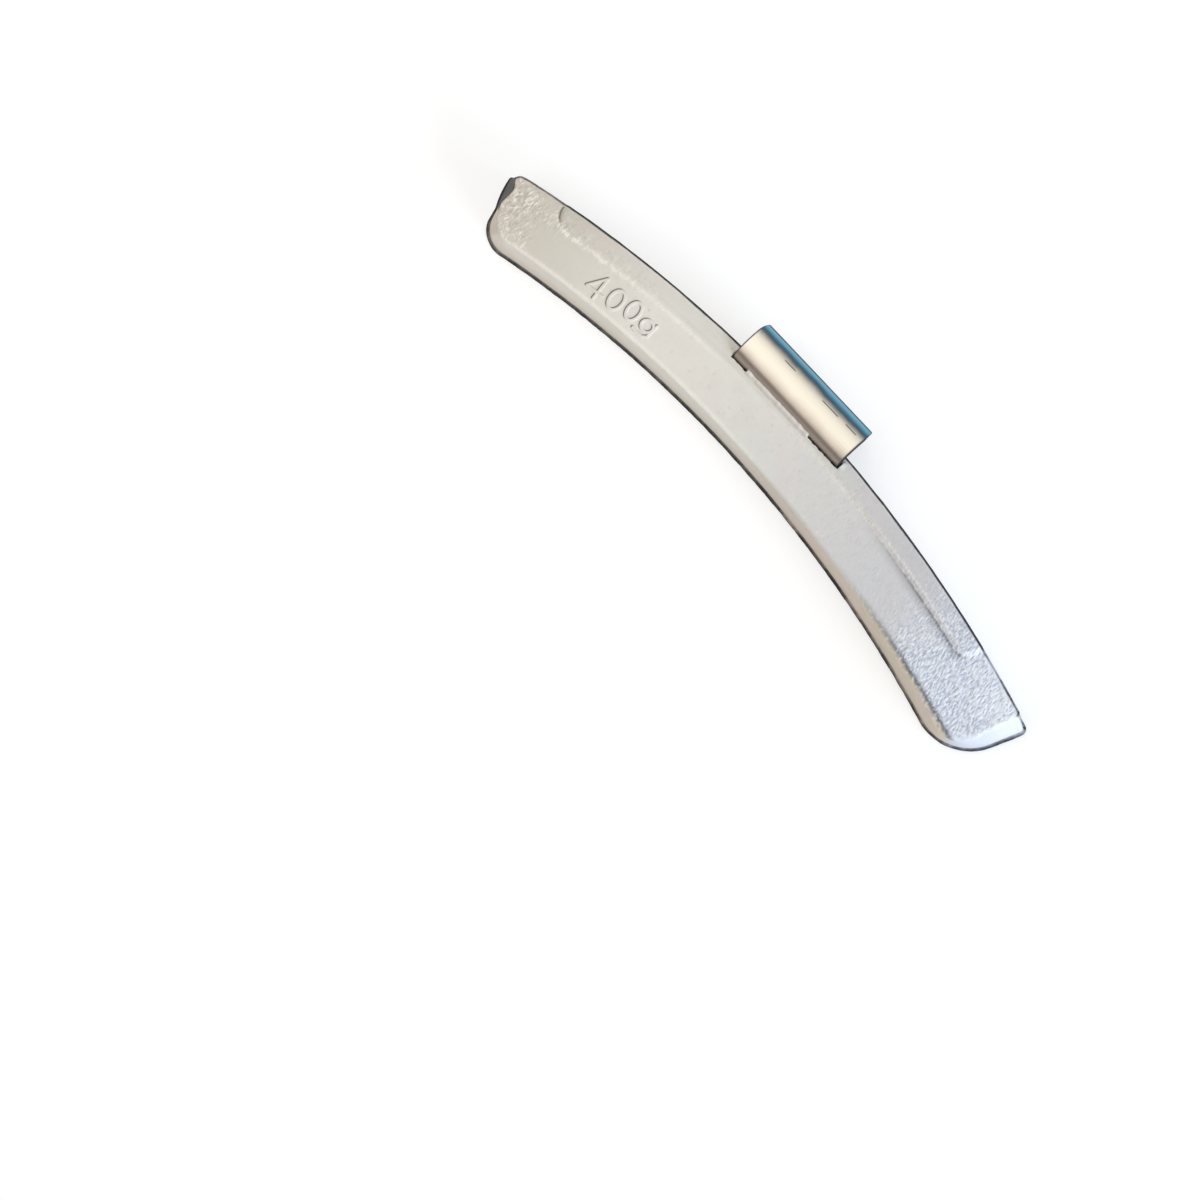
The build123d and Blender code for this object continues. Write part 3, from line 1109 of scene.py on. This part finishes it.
def paint_colour(nodes, place, grain, specks):
    """Silver paint with painted light: shaded at the left and bluish at the right, tan as painted warm light
    on the inner side, painted highlights on raised places and painted shade in low ones.
    """
    x = nodes.axes()["X"]
    relief_and_highlights = nodes.attribute("relief_and_highlights")
    # Share of painted cool light, rising towards the right
    cool_light = nodes.span(x, 12.0, 62.0)
    colour = SHADED_LEFT_PAINT
    for paint, first, last in PAINT_CHANGES:
        colour = nodes.mix(nodes.span(x, first, last), colour, paint)
    hues = nodes.fade(nodes.noise(place, 70.0, 2.0), 0.35, 0.65)
    colour = nodes.mix(nodes.fade(cool_light, 0.0, 1.0, 0.3, 0.05), colour, nodes.mix(hues, GREEN_HUE, PINK_HUE))
    clouds = nodes.fade(nodes.noise(place, 140.0, 6.0, 0.65), 0.3, 0.7, 0.0, 0.16)
    colour = nodes.mix(clouds, colour, CLOUD)
    # Tan as painted warm light on the inner side
    colour = nodes.mix(nodes.attribute("tan"), colour, nodes.mix(hues, TAN_WARM_LIGHT, PINK_TAN_WARM_LIGHT))
    # Painted shade in the grain's hollows and painted highlights on its raised places and pale places
    hollow_shade = nodes.fade(relief_and_highlights, -0.45, 0.0, 0.7, 0.0)
    colour = nodes.mix(hollow_shade, colour, nodes.mix(cool_light, WARM_HOLLOW_SHADE, COOL_HOLLOW_SHADE))
    highlights = nodes.fade(relief_and_highlights, 0.05, 0.45, 0.0, 0.7)
    colour = nodes.mix(highlights, colour, nodes.mix(cool_light, WARM_HIGHLIGHT, COOL_HIGHLIGHT))
    dull = nodes.math("MULTIPLY", specks, nodes.fade(grain, 0.0, 1.0, 0.2, 0.3))
    return nodes.mix(dull, colour, SPECK)


def cast_material():
    """Silver paint over a rough casting, worn through to dark metal in places, with painted shade and painted
    highlights.
    """
    nodes = Nodes(bpy.data.materials.new("silver_paint"))
    place = nodes.place()
    grain = nodes.attribute("grain")
    bare_and_shade = nodes.attribute("bare_and_shade")
    specks = nodes.fade(nodes.noise(place, 900.0, 3.0), 0.55, 0.75)
    paint = paint_colour(nodes, place, grain, specks)
    bump = nodes.add("ShaderNodeBump", {
        "Height": nodes.noise(place, 2600.0, 5.0, 0.65),
        "Strength": nodes.fade(grain, 0.0, 1.0, 0.2, 0.35),
        "Distance": 0.12 * MM,
    })
    return nodes.finish(nodes.add("ShaderNodeBsdfPrincipled", {
        # Dark metal and painted shade over the paint
        "Base Color": nodes.mix(bare_and_shade, paint, nodes.mix(specks, DARK_METAL_AND_SHADE, GREY_METAL_AND_SHADE)),
        "Metallic": 0.2,
        "Roughness": nodes.fade(nodes.noise(place, 300.0, 4.0), 0.3, 0.7, 0.62, 0.72),
        "Specular IOR Level": nodes.fade(bare_and_shade, 0.0, 1.0, 0.35, 0.15),
        "Normal": bump.outputs["Normal"],
    }))


# Colours of the strip, and the places between which they come in
DARK_STREAK = (0.71, 0.67, 0.59, 1)
PALE_STREAK = (0.78, 0.74, 0.65, 1)
# Painted shade at the strip's foot
FOOT_PAINTED_SHADE = (0.42, 0.35, 0.3, 1)
# Painted reflections on the strip's upper outer side: a slate band and a blue one
SLATE_PAINTED_REFLECTION = (0.1, 0.16, 0.23, 1)
BLUE_PAINTED_REFLECTION = (0.17, 0.41, 0.56, 1)
# Dark cut steel, also used for the band along the brink of the outer bend
SHEARED_AND_BRINK_STEEL = (0.03, 0.032, 0.036, 1)
SCRATCH = (0.08, 0.07, 0.06, 1)
SLATE_SPAN = (12.1, 13.9)
BLUE_SPAN = (13.2, 14.5)
CUT_SPAN = (0.1, 0.5)
STREAK_SCALE = (60.0, 2200.0, 2200.0)

# Scratches along the strip: first and last place along X, and place in Y
SCRATCHES = ((-7.5, -3.8, 12.3), (4.2, 9.4, 12.2), (11.2, 14.8, 12.3))
SCRATCH_END = 0.5


def scratch_share(nodes, axes, first, last, line_y):
    start = nodes.span(axes["X"], first, first + SCRATCH_END)
    stop = nodes.span(axes["X"], last - SCRATCH_END, last, 1.0, 0.0)
    offset = nodes.math("ABSOLUTE", nodes.math("SUBTRACT", axes["Y"], line_y * MM), 0.0)
    across = nodes.span(offset, 0.05, 0.14, 1.0, 0.0)
    return nodes.math("MULTIPLY", start, stop, across)


def sheared_and_brink_share(nodes, axes, y, upper):
    """Dark cut metal at the strip's edges and its two cut ends, and a dark band along the brink of its outer
    bend.
    """
    low = nodes.span(axes["Z"], 14.3, 15.2, 1.0, 0.0)
    brink = nodes.math("MULTIPLY", upper, low, nodes.span(y, 13.0, 14.0))
    near, far = CUT_SPAN
    left_cut = nodes.span(axes["X"], STRIP_LEFT + near, STRIP_LEFT + far, 1.0, 0.0)
    right_cut = nodes.span(axes["X"], STRIP_RIGHT - far, STRIP_RIGHT - near)
    edge = nodes.fade(nodes.attribute("edge"), 0.02, 0.3)
    return nodes.math("MAXIMUM", left_cut, right_cut, brink, edge)


def steel_material():
    """Plated strip: drawn streaks along it, painted shade at its foot, painted slate and blue reflections on
    its outer side, and scratches.
    """
    nodes = Nodes(bpy.data.materials.new("plated_steel"))
    axes = nodes.axes()
    shift = nodes.fade(nodes.noise(nodes.place(), 180.0, 3.0), 0.2, 0.8, -0.3 * MM, 0.3 * MM)
    y = nodes.math("ADD", axes["Y"], shift)
    upper = nodes.span(axes["Z"], 11.6, 13.6)
    drawn = nodes.add("ShaderNodeMapping", {"Vector": nodes.place(), "Scale": STREAK_SCALE})
    streaks = nodes.noise(drawn.outputs["Vector"], 1.0, 4.0, 0.6)
    steel = nodes.mix(nodes.fade(streaks, 0.3, 0.7), DARK_STREAK, PALE_STREAK)
    # Painted shade at the strip's foot, where its shoulder turns away from the light
    steel = nodes.mix(nodes.span(y, 5.9, 9.6, 1.0, 0.0), steel, FOOT_PAINTED_SHADE)
    # Painted slate and blue reflections on the upper outer side
    for painted_reflection, span in ((SLATE_PAINTED_REFLECTION, SLATE_SPAN), (BLUE_PAINTED_REFLECTION, BLUE_SPAN)):
        steel = nodes.mix(nodes.math("MULTIPLY", nodes.span(y, *span), upper), steel, painted_reflection)
    # Dark cut edges and ends, and a dark band along the brink of the outer bend
    sheared_and_brink = sheared_and_brink_share(nodes, axes, y, upper)
    steel = nodes.mix(sheared_and_brink, steel, SHEARED_AND_BRINK_STEEL)
    for scratch in SCRATCHES:
        steel = nodes.mix(scratch_share(nodes, axes, *scratch), steel, SCRATCH)
    roughness = nodes.fade(streaks, 0.2, 0.8, 0.34, 0.44)
    bump = nodes.add("ShaderNodeBump", {"Height": streaks, "Strength": 0.12, "Distance": 0.05 * MM})
    return nodes.finish(nodes.add("ShaderNodeBsdfPrincipled", {
        "Base Color": steel,
        "Metallic": nodes.fade(sheared_and_brink, 0.0, 1.0, 1.0, 0.0),
        "Roughness": nodes.math("MAXIMUM", roughness, nodes.math("MULTIPLY", sheared_and_brink, 0.8)),
        "Specular IOR Level": nodes.fade(sheared_and_brink, 0.0, 1.0, 0.5, 0.15),
        "Normal": bump.outputs["Normal"],
    }))


FLOOR_GREY = (0.5, 0.5, 0.5, 1)
FLOOR_GLOW = 0.57


def floor_material():
    """White floor that keeps the object's shadow; seen directly or in metal it is lifted to white."""
    nodes = Nodes(bpy.data.materials.new("white_floor"))
    path = nodes.add("ShaderNodeLightPath").outputs
    rays = (path["Is Camera Ray"], path["Is Glossy Ray"], path["Is Transmission Ray"])
    seen = nodes.math("MAXIMUM", *rays)
    paint = nodes.add("ShaderNodeBsdfDiffuse", {"Color": FLOOR_GREY})
    strength = nodes.math("MULTIPLY", seen, FLOOR_GLOW)
    glow = nodes.add("ShaderNodeEmission", {"Color": (1, 1, 1, 1), "Strength": strength})
    return nodes.finish(nodes.add("ShaderNodeAddShader", {0: paint.outputs[0], 1: glow.outputs[0]}))


# Stage, in metres

FLOOR_HALF = 20.0


def make_floor():
    corners = FLOOR_HALF * np.array(((-1, -1, 0), (1, -1, 0), (1, 1, 0), (-1, 1, 0)))
    mesh = bpy.data.meshes.new("floor")
    mesh.from_pydata(corners.tolist(), [], [(0, 1, 2, 3)])
    mesh.materials.append(floor_material())
    floor = add_object("floor", mesh)


def add_lamp(name, kind, place, target, colour, energy, **settings):
    lamp = bpy.data.lights.new(name, kind)
    lamp.color = colour
    lamp.energy = energy
    for label, value in settings.items():
        setattr(lamp, label, value)
    holder = add_object(name, lamp)
    holder.location = place
    holder.rotation_euler = (Vector(target) - Vector(place)).to_track_quat("-Z", "Y").to_euler()
    holder.visible_camera = False


def make_lights():
    add_lamp("warm_panel", "AREA", place=(-0.335, -0.09, 0.55), target=(-0.335, -0.09, 0),
             colour=(1.0, 0.955, 0.89), energy=2.82, shape="RECTANGLE", size=0.83, size_y=0.82)
    add_lamp("low_sun", "SUN", place=(0.95, -0.08, 0.31), target=(0, 0, 0),
             colour=(0.97, 0.98, 1.0), energy=1.42, angle=math.radians(20))
    add_lamp("window", "AREA", place=(0.42, 0.12, 0.2), target=(0.07, 0, 0.01),
             colour=(0.5, 0.72, 1.0), energy=0.9, size=0.22)


def make_world():
    """Bright at the horizon and dimmer overhead, by the height of the direction."""
    nodes = Nodes(bpy.data.worlds.new("studio"), "ShaderNodeOutputWorld")
    direction = nodes.add("ShaderNodeTexCoord").outputs["Generated"]
    height = nodes.add("ShaderNodeSeparateXYZ", {0: direction}).outputs["Z"]
    strength = nodes.fade(height, 0.1, 0.3, 1.0, 0.36)
    bpy.context.scene.world = nodes.finish(nodes.add("ShaderNodeBackground", {"Strength": strength}))


CAMERA_PLACE = Vector((0.06829174, -0.03197730, 0.43279388))
CAMERA_RIGHT = Vector((0.66142073, 0.7377425, -0.13512447))
CAMERA_DOWN = Vector((0.73427469, -0.67366037, -0.08379964))
CAMERA_VIEW = Vector((-0.15285056, -0.04379166, -0.98727858))


def make_camera():
    camera = bpy.data.cameras.new("camera")
    camera.sensor_width = 36.0
    camera.lens = 60.0
    camera.clip_start = 0.01
    holder = add_object("camera", camera)
    axes = Matrix((CAMERA_RIGHT, -CAMERA_DOWN, -CAMERA_VIEW)).transposed()
    holder.matrix_world = Matrix.Translation(CAMERA_PLACE) @ axes.to_4x4()
    bpy.context.scene.camera = holder


make_camera()
make_floor()
make_lights()
make_world()
bpy.context.scene.view_settings.view_transform = "Standard"

bar = make_bar(cast_material())
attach(bar, "root")
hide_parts("weight_body")

strip = make_strip(steel_material())
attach(strip, "root")
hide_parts("spring_clip")
